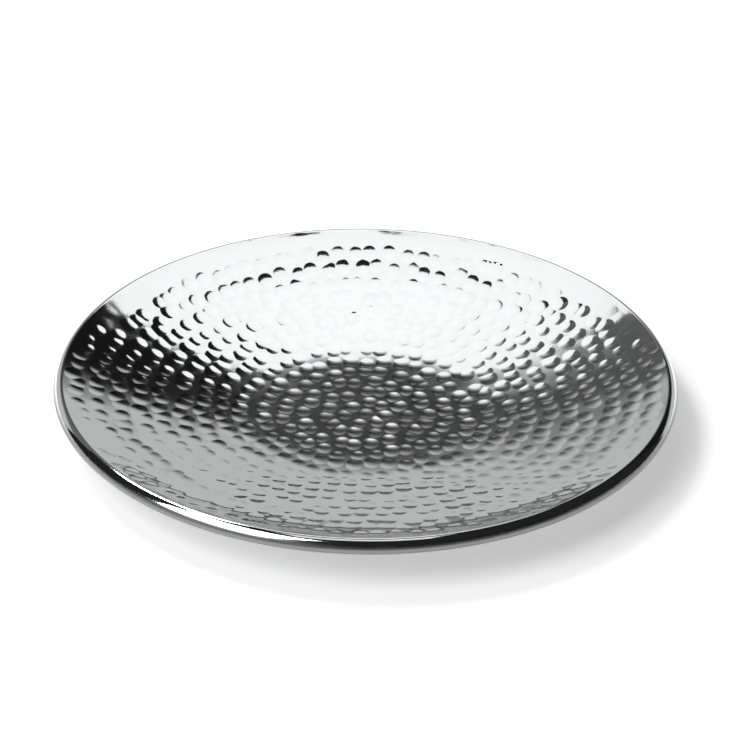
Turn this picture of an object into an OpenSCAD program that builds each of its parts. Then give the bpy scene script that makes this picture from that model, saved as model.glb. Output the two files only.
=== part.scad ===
// Hammered aluminium tray: a shallow round dish made from one sheet, flat in the middle so
// that it stands, with its edge turned outward and down and rolled round a stiffening wire.
// Millimetres, +Z up, origin on the table under the middle of the dish.

/* [Dish] */
// Overall diameter, across the rolled rim
tray_d = 300; // [220:5:400]
// Diameter of the flat bottom, inside
base_d = 94; // [60:2:140]
// Inside radius of the dished wall round the bottom
bowl_r = 400; // [300:10:700]
// Thickness of the aluminium sheet
sheet_t = 1.2; // [1:0.1:2.4]

/* [Hammer marks] */
// Width of one hammer mark
mark_d = 8.6; // [5:0.2:9]
// Depth of one hammer mark
mark_depth = 0.3; // [0.2:0.05:0.5]
// Least distance from one mark to the next, along a ring and from ring to ring
mark_pitch = 10.4; // [9:0.2:16]
// Smooth strip left between the outermost marks and the rim
rim_strip = 5; // [3:1:20]

/* [Rolled rim] */
// Inside radius of the bend over the crest
crest_in_r = 1; // [0.6:0.1:3]
// Inside radius of the sloping outer face
face_in_r = 4.8; // [3:0.2:12]
// Direction in which the outer face looks at its upper end, above level
face_top = 60; // [45:5:75]
// Direction in which the outer face looks at its lower end, above level
face_low = 15; // [0:5:30]
// Diameter of the stiffening wire at the lower end of the roll
wire_d = 2.2; // [1.6:0.2:4]
// Clearance between the wire and the sheet, all round
wire_gap = 0.1; // [0.05:0.05:0.3]
// How far the sheet is turned round the wire, in degrees
wire_wrap = 250; // [180:10:270]
// How far the crest stands proud of the inside of the dish
crest_proud = 0.1; // [0.05:0.05:0.3]
// Gap between the two cut ends of the wire
wire_end_gap = 1.5; // [0.5:0.5:6]

/* [Hidden] */

aluminium = [0.80, 0.81, 0.82];
wire_grey = [0.66, 0.67, 0.68];

// Steps round the wide arcs, the turned solids, the small circles and the hammer marks
wide_fn = 720;
turn_fn = 180;
small_fn = 64;
mark_fn = 24;
// Degrees from point to point along the roll
roll_step = 8;

// The wall's inside is a sphere about this height on the axis, cut off flat at the bottom
base_r = base_d / 2;
base_slope = asin(base_r / bowl_r);
bowl_z = sheet_t + bowl_r * cos(base_slope);

// The roll is three arcs that run into each other: the crest, the outer face and the turn
// round the wire. Arcs that meet smoothly have both centres on the line where they meet.
crest_r = crest_in_r + sheet_t;
face_r = face_in_r + sheet_t;
turn_r = wire_d / 2 + wire_gap + sheet_t;
crest_to_face = (crest_r - face_r) * heading(face_top);
face_to_wire = (face_r - turn_r) * heading(face_low);

// The roll's outermost point is level with the wire, and its crest lies on the bowl's sphere
crest_x = tray_d / 2 - turn_r - crest_to_face[0] - face_to_wire[0];
crest_reach = bowl_r + crest_r - crest_proud;
rim_slope = asin(crest_x / crest_reach);
crest_at = [crest_x, bowl_z - crest_reach * cos(rim_slope)];
face_at = crest_at + crest_to_face;
wire_at = face_at + face_to_wire;

// The roll starts inside the sheet, half way through its thickness
crest_start = 90 + rim_slope + acos(1 - crest_proud / (crest_r - sheet_t / 2));

wire_end_angle = wire_end_gap / wire_at[0] * 180 / PI;

// A hammer mark is the cap of a sphere. It is cut off just above the sheet, so that the
// cutters of neighbouring marks stay clear of each other.
mark_r = (mark_d * mark_d / 4 + mark_depth * mark_depth) / (2 * mark_depth);
mark_lid = 0.06;

// The rings of marks share out the bottom from the middle to its edge, and the wall from there
// to the strip at the rim. The edge lies midway between two rings, so no mark crosses it.
base_rings = max(1, floor(base_r / mark_pitch - 0.5));
base_step = base_r / (base_rings + 0.5);
wall_reach = (rim_slope - base_slope) * PI / 180 * bowl_r - rim_strip - mark_d / 2;
wall_rings = max(1, floor(wall_reach / mark_pitch + 0.5));
wall_step = wall_reach / (wall_rings - 0.5);
// Each ring is turned by this much more than the one inside it, so that marks don't line up
mark_turn = 137;

// Unit step towards an angle
function heading(angle) = [cos(angle), sin(angle)];

// Points along an arc, leaving out the first ones that the arc before it already has
function arc(at, r, from, to, first) =
    let (steps = ceil(abs(to - from) / roll_step))
    [for (s = [first : steps]) at + r * heading(from + (to - from) * s / steps)];

// The roll's line at a depth below its outer surface
function roll_line(depth) = concat(
    arc(crest_at, crest_r - depth, crest_start, face_top, 0),
    arc(face_at, face_r - depth, face_top, face_low, 1),
    arc(wire_at, turn_r - depth, face_low, face_low - wire_wrap, 1)
);

function backward(points) = [for (i = [len(points) - 1 : -1 : 0]) points[i]];

// A wedge with its point at the origin, wide enough to cut anything within reach of it
module wedge(start, angle, reach) {
    far = 2 * reach;
    polygon([
        [0, 0],
        far * [cos(start), sin(start)],
        far * [cos(start + angle / 2), sin(start + angle / 2)],
        far * [cos(start + angle), sin(start + angle)]
    ]);
}

// Cross-section of the bowl's sphere at one radius, above the height where it is cut off flat
module bowl_section(r, floor_z) {
    intersection() {
        translate([0, bowl_z])
            circle(r = r, $fn = wide_fn);
        translate([0, floor_z])
            square([tray_d, bowl_z]);
    }
}

// Cross-section of the dished sheet, from the axis up to the start of the roll
module sheet_profile() {
    intersection() {
        difference() {
            bowl_section(bowl_r + sheet_t, 0);
            bowl_section(bowl_r, sheet_t);
        }
        translate([0, bowl_z])
            wedge(-90, rim_slope, bowl_z);
    }
}

// Cross-section of the rolled edge, from the crest to the cut edge beside the wire
module roll_profile() {
    polygon(concat(roll_line(sheet_t), backward(roll_line(0))));
}

// One blow of the hammer, struck at the origin from above
module hammer_blow() {
    rotate_extrude($fn = mark_fn)
        intersection() {
            translate([0, mark_r - mark_depth])
                circle(r = mark_r, $fn = turn_fn);
            translate([0, -mark_depth])
                square([mark_d, mark_depth + mark_lid]);
        }
}

// Blows evenly round one ring of the radius, each standing where the caller's frame puts it
module ring_of_blows(r, ring) {
    count = max(1, floor(2 * PI * r / mark_pitch));
    for (i = [0 : count - 1])
        rotate([0, 0, 360 * i / count + mark_turn * ring])
            children();
}

// Blows all over the inside of the dish, in rings round its middle
module hammer_marks() {
    for (ring = [0 : base_rings])
        ring_of_blows(ring * base_step, ring)
            translate([ring * base_step, 0, sheet_t])
                hammer_blow();
    for (ring = [1 : wall_rings]) {
        tilt = base_slope + (ring - 0.5) * wall_step / bowl_r * 180 / PI;
        ring_of_blows(bowl_r * sin(tilt), base_rings + ring)
            translate([0, 0, bowl_z])
                rotate([0, -tilt, 0])
                    translate([0, 0, -bowl_r])
                        hammer_blow();
    }
}

// The dish and its rolled rim are one sheet, hammered on the inside
module dish() {
    color(aluminium)
        difference() {
            rotate_extrude($fn = turn_fn) {
                sheet_profile();
                roll_profile();
            }
            hammer_marks();
        }
}

// One length of wire bent to a ring, with its ends meeting at the back
module rim_wire() {
    color(wire_grey)
        rotate([0, 0, 90 + wire_end_angle / 2])
            rotate_extrude(angle = 360 - wire_end_angle, $fn = turn_fn)
                translate(wire_at)
                    circle(d = wire_d, $fn = small_fn);
}

dish();
rim_wire();
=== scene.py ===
"""Hammered aluminium tray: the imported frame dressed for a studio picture."""

import math
import random

import bpy
import numpy as np
from mathutils import Matrix, Vector


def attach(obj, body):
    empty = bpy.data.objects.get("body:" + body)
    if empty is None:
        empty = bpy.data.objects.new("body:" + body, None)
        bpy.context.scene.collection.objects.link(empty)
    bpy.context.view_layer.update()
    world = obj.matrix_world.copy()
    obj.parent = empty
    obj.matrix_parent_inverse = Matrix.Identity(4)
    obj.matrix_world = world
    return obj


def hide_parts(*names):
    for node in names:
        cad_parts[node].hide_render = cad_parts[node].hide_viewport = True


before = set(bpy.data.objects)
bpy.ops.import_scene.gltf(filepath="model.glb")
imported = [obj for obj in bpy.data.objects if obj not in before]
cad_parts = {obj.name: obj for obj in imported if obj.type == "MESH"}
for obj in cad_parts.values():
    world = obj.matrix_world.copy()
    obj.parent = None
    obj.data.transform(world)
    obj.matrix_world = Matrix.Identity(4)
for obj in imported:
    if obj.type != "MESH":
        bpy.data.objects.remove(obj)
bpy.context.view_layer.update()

# Lengths below are in millimetres, as in the part's source, and become metres here
MM = 0.001

# The dish and its rolled rim, with the names and values of the part's source
TRAY_D = 300.0
BASE_D = 94.0
BOWL_R = 400.0
SHEET_T = 1.2
CREST_IN_R = 1.0
FACE_IN_R = 4.8
FACE_TOP = 60.0
FACE_LOW = 15.0
WIRE_D = 2.2
WIRE_GAP = 0.1
WIRE_WRAP = 250.0

BOWL_Z = SHEET_T + math.sqrt(BOWL_R**2 - (BASE_D / 2) ** 2)
CREST_R = CREST_IN_R + SHEET_T
FACE_R = FACE_IN_R + SHEET_T
TURN_R = WIRE_D / 2 + WIRE_GAP + SHEET_T


def heading(degrees):
    """Unit step towards an angle, in the plane of the cross-section."""
    a = math.radians(degrees)
    return np.array([math.cos(a), math.sin(a)])


CREST_TO_FACE = (CREST_R - FACE_R) * heading(FACE_TOP)
FACE_TO_WIRE = (FACE_R - TURN_R) * heading(FACE_LOW)
CREST_X = TRAY_D / 2 - TURN_R - CREST_TO_FACE[0] - FACE_TO_WIRE[0]
CREST_REACH = BOWL_R + CREST_R
RIM_SLOPE = math.degrees(math.asin(CREST_X / CREST_REACH))
CREST_AT = np.array([CREST_X, BOWL_Z - CREST_REACH * math.cos(math.radians(RIM_SLOPE))])
FACE_AT = CREST_AT + CREST_TO_FACE
WIRE_AT = FACE_AT + FACE_TO_WIRE

# Rounding of the edge between the flat bottom and the wall, as a height, at the back and the front
KNEE_BACK = 1.5
KNEE_FRONT = 3.2

# Hammer marks: rows round the middle, each mark the cap of a sphere, a little tilted and longer
# from front to back than it is wide
MARK_SEED = 41
MARK_ROW = 9.3
MARK_STEP = 8.5
MARK_HALF_WIDTH = 3.85
MARK_LONG = 1.22
MARK_BALL_R = 35.0
MARK_TILT = 0.016
MARK_EDGE = 0.05
RIM_STRIP = 2.5
# How far marks differ: shares of width and depth, stray along a row in steps and across it
WIDTH_SHARES = (0.88, 1.1)
DEPTH_SHARES = (0.85, 1.15)
STRAY_ALONG = 0.12
STRAY_ACROSS = 0.9
# Depth left to the last two rows at the back, and the sine of the turn from which that counts
LAST_ROWS_DEPTH = (0.9, 0.2)
BACK_SINE = 0.3
# A mark is worked out on the rings of points that lie within this many half widths of its middle
MARK_REACH = 1.3

# Distance from ring to ring of the hammered inside's points
INSIDE_STEP = 0.55
# Steps along the crest, the face and the turn round the wire, on the outside and the inside
OUTER_ROLL_STEPS = (12, 10, 26)
INNER_ROLL_STEPS = (6, 6, 20)

# Slow unevenness of hand-worked sheet: slope, and the wavelengths it comes in
WAVER_SLOPE = 0.008
WAVER_COUNT = 28
WAVER_SHORT = 16.0
WAVER_LONG = 48.0

# Uneven wall: a hollow behind the bottom, a swell in front of it, and a ring inside the rim
# that swells at the back and sinks to the left and right of the front. Height, radius and
# width of each.
HOLLOW = (-0.4, 58.0, 64.0)
SWELL = (1.2, 92.0, 100.0)
RIM_RING = (0.8, 128.0, 36.0)
# How closely the swell keeps to the front
SWELL_FOCUS = 6
# Shares of the rim's ring at the back and at the front, and how much less it sinks on the right
RING_BACK = 0.4
RING_FRONT = -1.2
RING_LEAN = 0.4


def ring_start(k):
    """Index of the first point of ring k in a hex disc."""
    return 1 + 3 * k * (k - 1) if k > 0 else 0


def hex_disc(rings):
    """Triangles of a disc in which ring k has 6k points, so that they are nearly alike."""
    faces = []
    for k in range(1, rings + 1):
        outer = ring_start(k)
        inner = ring_start(k - 1)
        sector, i = np.divmod(np.arange(6 * k), k)
        low = sector * (k - 1) + i
        wrap = 6 * (k - 1) if k > 1 else 1
        a = outer + np.arange(6 * k)
        b = outer + (np.arange(6 * k) + 1) % (6 * k)
        c = inner + low % wrap
        faces.append(np.stack([a, b, c], axis=1))
        if k > 1:
            keep = i < k - 1
            d = inner + (low[keep] + 1) % wrap
            faces.append(np.stack([c[keep], b[keep], d], axis=1))
    return np.concatenate(faces)


def ring_points(rings, step):
    """Points of a hex disc in plan."""
    points = [np.zeros((1, 2))]
    for k in range(1, rings + 1):
        turn = 2 * math.pi * np.arange(6 * k) / (6 * k)
        points.append(k * step * np.stack([np.cos(turn), np.sin(turn)], axis=1))
    return np.concatenate(points)


def smooth_max(a, b, edge):
    """The larger of two, with the corner between them rounded."""
    blend = np.maximum(edge - np.abs(a - b), 0.0)
    return np.maximum(a, b) + blend * blend / (4 * edge)


def sphere_height(points, radius):
    """Height of a sphere about the bowl's centre over points in plan."""
    return BOWL_Z - np.sqrt(radius**2 - (points**2).sum(axis=1))


def hammer_marks(rim_r):
    """Each mark's place in plan, half width, depth and tilt."""
    rng = random.Random(MARK_SEED)
    last = rim_r - RIM_STRIP - MARK_HALF_WIDTH
    rows = int(last / MARK_ROW)
    marks = []
    for row in range(rows + 1):
        r = last * row / rows
        count = max(1, round(2 * math.pi * r / MARK_STEP))
        start = rng.uniform(0, 2 * math.pi)
        for i in range(count):
            half = MARK_HALF_WIDTH * rng.uniform(*WIDTH_SHARES)
            depth = half**2 / (2 * MARK_BALL_R) * rng.uniform(*DEPTH_SHARES)
            turn = start + 2 * math.pi * (i + rng.gauss(0, STRAY_ALONG)) / count
            away = r + rng.gauss(0, STRAY_ACROSS)
            place = np.array([away * math.cos(turn), away * math.sin(turn)])
            tilt = np.array([rng.gauss(0, MARK_TILT), rng.gauss(0, MARK_TILT)])
            if row >= rows - 1 and math.sin(turn) > BACK_SINE:
                left = LAST_ROWS_DEPTH[row - rows + 1]
                depth *= left
                tilt *= left
            marks.append((place, half, depth, tilt))
    return marks


def dent_field(points, rings, step, marks):
    """Depth of the hammering at each point of a hex disc."""
    depth = np.zeros(len(points))
    for place, half, deep, tilt in marks:
        r = math.hypot(place[0], place[1])
        first = max(0, int((r - MARK_REACH * half) / step) - 2)
        final = min(rings, int((r + MARK_REACH * half) / step) + 2)
        start = ring_start(first)
        stop = ring_start(final + 1)
        off = points[start:stop] - place
        bowl = deep * (1 - (off[:, 0] ** 2 + (off[:, 1] / MARK_LONG) ** 2) / half**2) + off @ tilt
        depth[start:stop] = smooth_max(depth[start:stop], bowl, MARK_EDGE)
    return depth


def waver(points):
    """Slow unevenness of the sheet, as the sum of waves in seeded directions."""
    rng = random.Random(MARK_SEED + 1)
    height = np.zeros(len(points))
    for _ in range(WAVER_COUNT):
        length = math.exp(rng.uniform(math.log(WAVER_SHORT), math.log(WAVER_LONG)))
        way = rng.uniform(0, 2 * math.pi)
        phase = rng.uniform(0, 2 * math.pi)
        k = 2 * math.pi / length
        size = WAVER_SLOPE / k * math.sqrt(2.0 / WAVER_COUNT)
        across = points[:, 0] * math.cos(way) + points[:, 1] * math.sin(way)
        height += size * np.sin(k * across + phase)
    return height


def ring_wave(away, height, radius, width):
    """A smooth ring that rises to a height at one radius and ends at half a width from it."""
    across = np.clip(np.abs(away - radius) / (width / 2), 0.0, 1.0)
    return height * (1 + np.cos(math.pi * across)) / 2


def uneven(plan):
    """How far the hand-worked wall lies above the sphere, over points in plan."""
    away = np.hypot(plan[:, 0], plan[:, 1])
    turn = np.arctan2(plan[:, 1], plan[:, 0])
    backward = np.sin(turn)
    front = (RING_LEAN * np.cos(turn) + RING_FRONT) * np.sin(2 * turn) ** 2
    share = np.where(backward > 0, RING_BACK * backward**2, front)
    wall = ((1 + backward) / 2) ** 2 * ring_wave(away, *HOLLOW)
    wall += np.maximum(-backward, 0.0) ** SWELL_FOCUS * ring_wave(away, *SWELL)
    return wall + share * ring_wave(away, *RIM_RING)


def arc_points(at, radius, start, stop, count):
    """Points of an arc in the cross-section, its first one left out."""
    return [at + radius * heading(start + (stop - start) * s / count) for s in range(1, count + 1)]


def roll_line(depth, counts):
    """The rolled edge's line at a depth below its outer surface, from the crest on."""
    return (
        arc_points(CREST_AT, CREST_R - depth, 90 + RIM_SLOPE, FACE_TOP, counts[0])
        + arc_points(FACE_AT, FACE_R - depth, FACE_TOP, FACE_LOW, counts[1])
        + arc_points(WIRE_AT, TURN_R - depth, FACE_LOW, FACE_LOW - WIRE_WRAP, counts[2])
    )


def turned(line, segments):
    """Points of a line turned about the axis."""
    turn = 2 * math.pi * np.arange(segments) / segments
    rows = [
        np.stack([p[0] * np.cos(turn), p[0] * np.sin(turn), np.full(segments, p[1])], axis=1)
        for p in line
    ]
    return np.concatenate(rows)


def band_faces(first, second, segments):
    """Quads between two rings of points, given the index of each ring's first point."""
    i = np.arange(segments)
    j = (i + 1) % segments
    return np.stack([first + i, first + j, second + j, second + i], axis=1)


def mesh_object(name, points, triangles, quads):
    """A smooth mesh object from points in millimetres."""
    mesh = bpy.data.meshes.new(name)
    loops = np.concatenate([triangles.ravel(), quads.ravel()]).astype(np.int32)
    starts = np.concatenate(
        [np.arange(len(triangles)) * 3, len(triangles) * 3 + np.arange(len(quads)) * 4]
    ).astype(np.int32)
    mesh.vertices.add(len(points))
    mesh.vertices.foreach_set("co", (points * MM).astype(np.float32).ravel())
    mesh.loops.add(len(loops))
    mesh.loops.foreach_set("vertex_index", loops)
    mesh.polygons.add(len(starts))
    mesh.polygons.foreach_set("loop_start", starts)
    mesh.update(calc_edges=True)
    mesh.validate()
    mesh.shade_smooth()
    obj = bpy.data.objects.new(name, mesh)
    bpy.context.scene.collection.objects.link(obj)
    return obj


def make_dish():
    """The hammered dish with its rolled rim, one closed sheet."""
    rim_r = BOWL_R * math.sin(math.radians(RIM_SLOPE))
    rings = 2 * round(rim_r / INSIDE_STEP / 2)
    step = rim_r / rings
    # The roll joins the outermost ring of the inside, which has 6 points for each ring
    segments = 6 * rings
    marks = hammer_marks(rim_r)

    plan = ring_points(rings, step)
    away = np.hypot(plan[:, 0], plan[:, 1])
    fade = np.clip((rim_r - away) / RIM_STRIP, 0.0, 1.0)
    depth = dent_field(plan, rings, step, marks) + fade * waver(plan)
    wall = sphere_height(plan, BOWL_R) + uneven(plan)
    backward = plan[:, 1] / np.maximum(away, step)
    knee = (KNEE_BACK + KNEE_FRONT + (KNEE_BACK - KNEE_FRONT) * backward) / 2
    height = smooth_max(SHEET_T, wall, knee) - depth
    inside = np.column_stack([plan, height])
    inside_faces = hex_disc(rings)

    # The underside has half as many rings, is flat where it stands and smooth elsewhere
    under_rings = rings // 2
    under_r = (BOWL_R + SHEET_T) * math.sin(math.radians(RIM_SLOPE))
    under_plan = ring_points(under_rings, under_r / under_rings)
    under_wall = sphere_height(under_plan, BOWL_R + SHEET_T) + uneven(under_plan)
    under_height = np.maximum(0.0, under_wall)
    under = np.column_stack([under_plan, under_height])
    under_faces = hex_disc(under_rings)[:, ::-1]

    outer_line = roll_line(0.0, OUTER_ROLL_STEPS)
    inner_line = roll_line(SHEET_T, INNER_ROLL_STEPS)
    line = outer_line + inner_line[::-1]
    roll = turned(line, segments)

    points = np.concatenate([inside, roll, under])
    roll_at = len(inside)
    under_at = roll_at + len(roll)
    edge_at = ring_start(rings)
    rows = [edge_at] + [roll_at + i * segments for i in range(len(line))]
    quads = np.concatenate([band_faces(b, a, segments) for a, b in zip(rows, rows[1:])])

    # The last ring of the roll meets the underside's rim, which has half as many points
    half = segments // 2
    i = np.arange(half)
    fine = rows[-1]
    rim = under_at + ring_start(under_rings)
    a = fine + 2 * i
    b = fine + 2 * i + 1
    c = fine + (2 * i + 2) % segments
    p = rim + i
    q = rim + (i + 1) % half
    seam = np.concatenate(
        [np.stack([a, p, b], axis=1), np.stack([b, p, q], axis=1), np.stack([b, q, c], axis=1)]
    )
    triangles = np.concatenate([inside_faces, under_faces + under_at, seam])
    return mesh_object("hammered_dish", points, triangles, quads)


def new_material(name):
    """A node material and its shader."""
    mat = bpy.data.materials.new(name)
    mat.use_nodes = True
    return mat, mat.node_tree.nodes["Principled BSDF"]


def glow_material(name):
    """A node material that only glows, and its emission node."""
    mat = bpy.data.materials.new(name)
    mat.use_nodes = True
    nodes = mat.node_tree.nodes
    nodes.clear()
    out = nodes.new("ShaderNodeOutputMaterial")
    glow = nodes.new("ShaderNodeEmission")
    mat.node_tree.links.new(glow.outputs["Emission"], out.inputs["Surface"])
    return mat, glow


def feed(tree, socket, value):
    """Sets an input to a number, or links it to another node's output."""
    if isinstance(value, bpy.types.NodeSocket):
        tree.links.new(value, socket)
    else:
        socket.default_value = value


def math_node(tree, operation, *values):
    """What a math node gives for numbers and other nodes' outputs."""
    node = tree.nodes.new("ShaderNodeMath")
    node.operation = operation
    for socket, value in zip(node.inputs, values):
        feed(tree, socket, value)
    return node.outputs["Value"]


def map_range(tree, value, from_ends, to_ends, shape="LINEAR"):
    """A value carried over from one range to another."""
    node = tree.nodes.new("ShaderNodeMapRange")
    node.interpolation_type = shape
    feed(tree, node.inputs["Value"], value)
    for name, end in zip(("From Min", "From Max", "To Min", "To Max"), (*from_ends, *to_ends)):
        feed(tree, node.inputs[name], end)
    return node.outputs["Result"]


def noise(tree, place, scale, detail):
    """Noise over an object's own coordinates."""
    node = tree.nodes.new("ShaderNodeTexNoise")
    node.inputs["Scale"].default_value = scale
    node.inputs["Detail"].default_value = detail
    tree.links.new(place.outputs["Object"], node.inputs["Vector"])
    return node.outputs["Fac"]


def roughen(tree, shader, height, strength, distance):
    """Fine bumps on a shader."""
    bump = tree.nodes.new("ShaderNodeBump")
    bump.inputs["Strength"].default_value = strength
    bump.inputs["Distance"].default_value = distance
    tree.links.new(height, bump.inputs["Height"])
    tree.links.new(bump.outputs["Normal"], shader.inputs["Normal"])


def distance_from_middle(tree, place):
    """Distance of a point from its object's middle."""
    away = tree.nodes.new("ShaderNodeVectorMath")
    away.operation = "LENGTH"
    tree.links.new(place.outputs["Object"], away.inputs[0])
    return away.outputs["Value"]


# How far a face looks upward where the sheet turns dull and painted shade darkens its colour, and
# where it is still bright and unshaded
SHADE_AND_DULL_FACING = 0.40
UNSHADED_BRIGHT_FACING = 0.66
# Radii, in metres, between which the worn middle runs out
WORN_IN = 0.040
WORN_OUT = 0.080
# Roughness: the range of the haze, and what the worn middle and the dull faces add to it
HAZE = (0.035, 0.075)
WORN_ADDS = 0.03
DULL_ADDS = 0.3


def polished_aluminium():
    """Bright on top, hazier in the worn middle, and duller low on the rolled edge and below, where
    painted shade darkens its colour.
    """
    mat, shader = new_material("polished_aluminium")
    tree = mat.node_tree
    shader.inputs["Metallic"].default_value = 1.0

    place = tree.nodes.new("ShaderNodeTexCoord")
    facing = tree.nodes.new("ShaderNodeSeparateXYZ")
    tree.links.new(place.outputs["Normal"], facing.inputs["Vector"])
    upward_share = facing.outputs["Z"]
    # Painted shade: the colour darkens on faces that look down, standing in for the shadowed floor
    # that they mirror; the added roughness there is a duller finish
    painted_shade_ramp = tree.nodes.new("ShaderNodeValToRGB")
    painted_shade_ramp.color_ramp.elements[0].position = SHADE_AND_DULL_FACING
    painted_shade_ramp.color_ramp.elements[0].color = (0.28, 0.28, 0.283, 1.0)
    painted_shade_ramp.color_ramp.elements[1].position = UNSHADED_BRIGHT_FACING
    painted_shade_ramp.color_ramp.elements[1].color = (0.90, 0.905, 0.91, 1.0)
    tree.links.new(upward_share, painted_shade_ramp.inputs["Fac"])
    tree.links.new(painted_shade_ramp.outputs["Color"], shader.inputs["Base Color"])

    dull = map_range(tree, upward_share, (UNSHADED_BRIGHT_FACING, SHADE_AND_DULL_FACING), (0.0, DULL_ADDS))
    haze = map_range(tree, noise(tree, place, scale=60.0, detail=5.0), (0.3, 0.7), HAZE)
    away = distance_from_middle(tree, place)
    worn = map_range(tree, away, (WORN_IN, WORN_OUT), (WORN_ADDS, 0.0), "SMOOTHSTEP")
    used = math_node(tree, "ADD", haze, worn)
    tree.links.new(math_node(tree, "ADD", used, dull), shader.inputs["Roughness"])
    grain = noise(tree, place, scale=900.0, detail=3.0)
    roughen(tree, shader, grain, strength=0.05, distance=0.0002)
    return mat


def drawn_wire():
    """Plain wire with the fine marks of drawing."""
    mat, shader = new_material("drawn_wire")
    tree = mat.node_tree
    shader.inputs["Metallic"].default_value = 1.0
    shader.inputs["Base Color"].default_value = (0.70, 0.705, 0.71, 1.0)
    place = tree.nodes.new("ShaderNodeTexCoord")
    draw = noise(tree, place, scale=350.0, detail=4.0)
    dull = map_range(tree, draw, (0.0, 1.0), (0.32, 0.5))
    tree.links.new(dull, shader.inputs["Roughness"])
    roughen(tree, shader, draw, strength=0.15, distance=0.0003)
    return mat


def dress(obj, mat):
    """Gives an object one material."""
    obj.data.materials.clear()
    obj.data.materials.append(mat)


dish = make_dish()
dress(dish, polished_aluminium())
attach(dish, "root")
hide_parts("dish")
dress(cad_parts["rim_wire"], drawn_wire())


# Studio: a pale floor, a round light and a wall with a low glow at the back, a key at the back
# left, a soft box at the front left and a dim panel overhead. Lengths here are in metres.
FLOOR_HALF = 8.0
FLOOR_LIFT = 0.45
WORLD_GREY = 0.015
DISC_R = 0.265
DISC_CORNERS = 96

# The wall, its glow low down, and its dark higher up at two places left and right of the middle
WALL_Y = 2.6
WALL_HALF = 4.0
WALL_TOP = 3.0
GLOW = 0.50
DARK_LEFT = 0.13
DARK_RIGHT = 0.008
DARK_LEFT_X = -1.4
DARK_RIGHT_X = 0.6
# Angles seen from the tray between which the glow fades, in its middle and at its sides
GLOW_LOW_MIDDLE = 8.0
GLOW_LOW_SIDES = 21.0
GLOW_HIGH = 30.0
# Angle of the glow's middle to the left, and from there to its sides
GLOW_LEFT = 4.5
GLOW_SIDE = 11.0
# Rise of the glow's edge towards the left
GLOW_SLANT = 0.10
# Painted light on the wall below the disc, as if spilt from it, glowing between two angles, and
# the angles to the side between which it runs out
SPILL = 0.8
SPILL_LOW = 31.5
SPILL_HIGH = 42.0
SPILL_FULL = 4.0
SPILL_END = 13.0


def way_to(towards, up):
    """Unit step to a direction, in degrees clockwise from the back and above level."""
    side = math.radians(towards)
    rise = math.radians(up)
    return Vector(
        (math.sin(side) * math.cos(rise), math.cos(side) * math.cos(rise), math.sin(rise))
    )


def place_facing_tray(obj, towards, up, away):
    """Puts an object in the scene, in a direction and at a distance, looking at the tray."""
    bpy.context.scene.collection.objects.link(obj)
    way = way_to(towards, up)
    obj.location = way * away
    obj.rotation_euler = way.to_track_quat("Z", "Y").to_euler()


def soft_box(name, towards, up, away, width, height, brightness):
    """A soft rectangular light that looks at the tray."""
    light = bpy.data.lights.new(name, "AREA")
    light.shape = "RECTANGLE"
    light.size = width
    light.size_y = height
    light.energy = brightness * math.pi * width * height
    place_facing_tray(bpy.data.objects.new(name, light), towards, up, away)


def flat_stage(name, corners, mat):
    """A staged rectangle from its four corners."""
    mesh = bpy.data.meshes.new(name)
    mesh.from_pydata(corners, [], [(0, 1, 2, 3)])
    mesh.materials.append(mat)
    obj = bpy.data.objects.new(name, mesh)
    bpy.context.scene.collection.objects.link(obj)


def disc_stage(name, towards, up, away, radius, mat):
    """A staged disc that looks at the tray."""
    mesh = bpy.data.meshes.new(name)
    turns = [2 * math.pi * i / DISC_CORNERS for i in range(DISC_CORNERS)]
    rim = [(radius * math.cos(a), radius * math.sin(a), 0.0) for a in turns]
    mesh.from_pydata(rim, [], [tuple(range(DISC_CORNERS))])
    mesh.materials.append(mat)
    obj = bpy.data.objects.new(name, mesh)
    place_facing_tray(obj, towards, up, away)


def floor_white(lift):
    """Matt white that shows lighter than it is lit, and keeps the shadow."""
    mat, shader = new_material("floor_white")
    tree = mat.node_tree
    shader.inputs["Base Color"].default_value = (0.9, 0.9, 0.9, 1.0)
    shader.inputs["Roughness"].default_value = 0.9
    shader.inputs["Specular IOR Level"].default_value = 0.1
    shader.inputs["Emission Color"].default_value = (1.0, 1.0, 1.0, 1.0)
    path = tree.nodes.new("ShaderNodeLightPath")
    glossy = path.outputs["Is Glossy Ray"]
    mirrored = math_node(tree, "MAXIMUM", glossy, path.outputs["Is Transmission Ray"])
    seen = math_node(tree, "MAXIMUM", path.outputs["Is Camera Ray"], mirrored)
    strength = math_node(tree, "MULTIPLY", seen, lift)
    tree.links.new(strength, shader.inputs["Emission Strength"])
    return mat


def seen_at(degrees):
    """Height on the wall, or distance from its middle, that is seen from the tray at an angle."""
    return WALL_Y * math.tan(math.radians(degrees))


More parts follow.
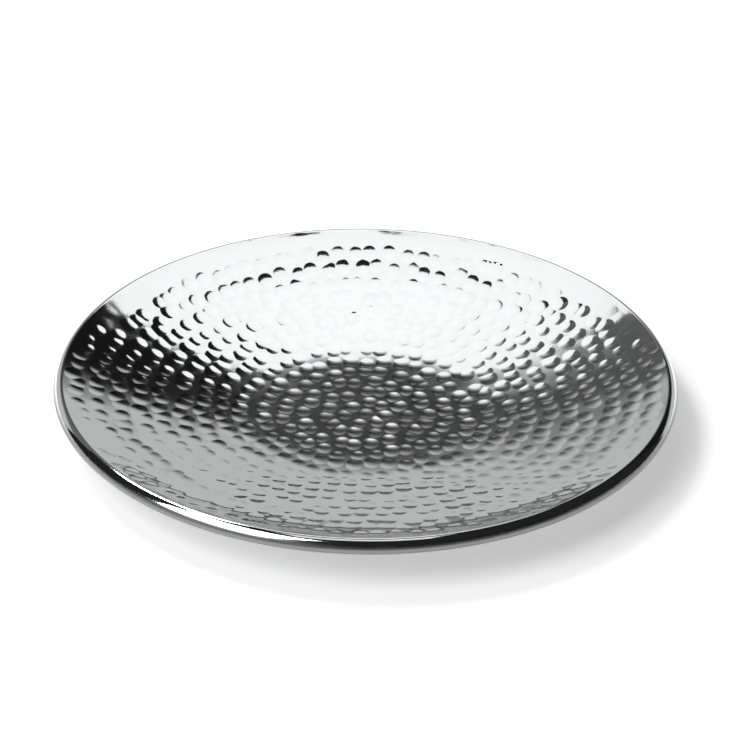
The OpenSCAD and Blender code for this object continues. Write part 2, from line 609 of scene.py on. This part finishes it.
def wall_glow():
    """Bright low down and dark higher up, where the dark reaches lower in the middle, and above
    that glowing with painted light as if lit by the disc."""
    mat, glow = glow_material("wall_glow")
    tree = mat.node_tree
    place = tree.nodes.new("ShaderNodeTexCoord")
    split = tree.nodes.new("ShaderNodeSeparateXYZ")
    tree.links.new(place.outputs["Object"], split.inputs["Vector"])
    x = split.outputs["X"]
    z = split.outputs["Z"]

    dark = map_range(tree, x, (DARK_LEFT_X, DARK_RIGHT_X), (DARK_LEFT, DARK_RIGHT))
    aside = math_node(tree, "ABSOLUTE", math_node(tree, "ADD", x, seen_at(GLOW_LEFT)))
    low_ends = (seen_at(GLOW_LOW_MIDDLE), seen_at(GLOW_LOW_SIDES))
    start = map_range(tree, aside, (0.0, seen_at(GLOW_SIDE)), low_ends, "SMOOTHSTEP")
    slanted = math_node(tree, "MULTIPLY_ADD", x, GLOW_SLANT, z)
    fade = map_range(tree, slanted, (start, seen_at(GLOW_HIGH)), (GLOW, dark), "SMOOTHSTEP")

    # Painted light: glow added below the disc as if its light fell on the wall
    spill_ends = (seen_at(SPILL_LOW), seen_at(SPILL_HIGH))
    spill = map_range(tree, z, spill_ends, (0.0, SPILL), "SMOOTHSTEP")
    side_ends = (seen_at(SPILL_FULL), seen_at(SPILL_END))
    within = map_range(tree, aside, side_ends, (1.0, 0.0), "SMOOTHSTEP")
    spilt = math_node(tree, "MULTIPLY", spill, within)
    tree.links.new(math_node(tree, "ADD", fade, spilt), glow.inputs["Strength"])
    return mat


def disc_glow(radius, middle, rim):
    """Brightest in the middle of a disc, falling off to its rim."""
    mat, glow = glow_material("disc_glow")
    tree = mat.node_tree
    place = tree.nodes.new("ShaderNodeTexCoord")
    fall = map_range(tree, distance_from_middle(tree, place), (0.0, radius), (middle, rim))
    tree.links.new(fall, glow.inputs["Strength"])
    return mat


flat_stage(
    "floor",
    [
        (-FLOOR_HALF, -FLOOR_HALF, 0),
        (FLOOR_HALF, -FLOOR_HALF, 0),
        (FLOOR_HALF, FLOOR_HALF, 0),
        (-FLOOR_HALF, FLOOR_HALF, 0),
    ],
    floor_white(FLOOR_LIFT),
)
flat_stage(
    "wall",
    [
        (-WALL_HALF, WALL_Y, 0),
        (WALL_HALF, WALL_Y, 0),
        (WALL_HALF, WALL_Y, WALL_TOP),
        (-WALL_HALF, WALL_Y, WALL_TOP),
    ],
    wall_glow(),
)
disc_light = disc_glow(DISC_R, middle=1.1, rim=0.98)
disc_stage("back_disc", towards=0.0, up=51.2, away=1.141, radius=DISC_R, mat=disc_light)
soft_box("key", towards=-50.0, up=56.0, away=1.3, width=0.44, height=0.44, brightness=13.0)
soft_box("left_box", towards=-125.0, up=44.0, away=2.6, width=1.8, height=1.8, brightness=4.2)
soft_box("top_panel", towards=180.0, up=86.0, away=2.2, width=1.1, height=0.9, brightness=0.8)

world = bpy.data.worlds.new("studio")
world.use_nodes = True
grey = (WORLD_GREY, WORLD_GREY, WORLD_GREY, 1.0)
world.node_tree.nodes["Background"].inputs["Color"].default_value = grey
bpy.context.scene.world = world

# Camera, fitted to the rim's outline in the photograph. Its distance is in metres. The point that
# it aims at, right of the middle and below the crest, is in millimetres.
CAMERA_D = 1.300
CAMERA_LENS = 129.33
CAMERA_UP = math.radians(30.5)
CAMERA_ROLL = math.radians(0.85)
AIM_RIGHT = 4.42
AIM_BELOW_CREST = 3.45
CAMERA_AIM = Vector((AIM_RIGHT, 0.0, CREST_AT[1] + CREST_R - AIM_BELOW_CREST)) * MM

back = Vector((0.0, -math.cos(CAMERA_UP), math.sin(CAMERA_UP)))
level = Vector((1.0, 0.0, 0.0))
upright = back.cross(level)
right = level * math.cos(CAMERA_ROLL) + upright * math.sin(CAMERA_ROLL)
upward = upright * math.cos(CAMERA_ROLL) - level * math.sin(CAMERA_ROLL)
camera_data = bpy.data.cameras.new("camera")
camera_data.lens = CAMERA_LENS
camera = bpy.data.objects.new("camera", camera_data)
bpy.context.scene.collection.objects.link(camera)
turn = Matrix((right, upward, back)).transposed().to_4x4()
camera.matrix_world = Matrix.Translation(CAMERA_AIM + back * CAMERA_D) @ turn
bpy.context.scene.camera = camera
bpy.context.scene.view_settings.view_transform = "Standard"
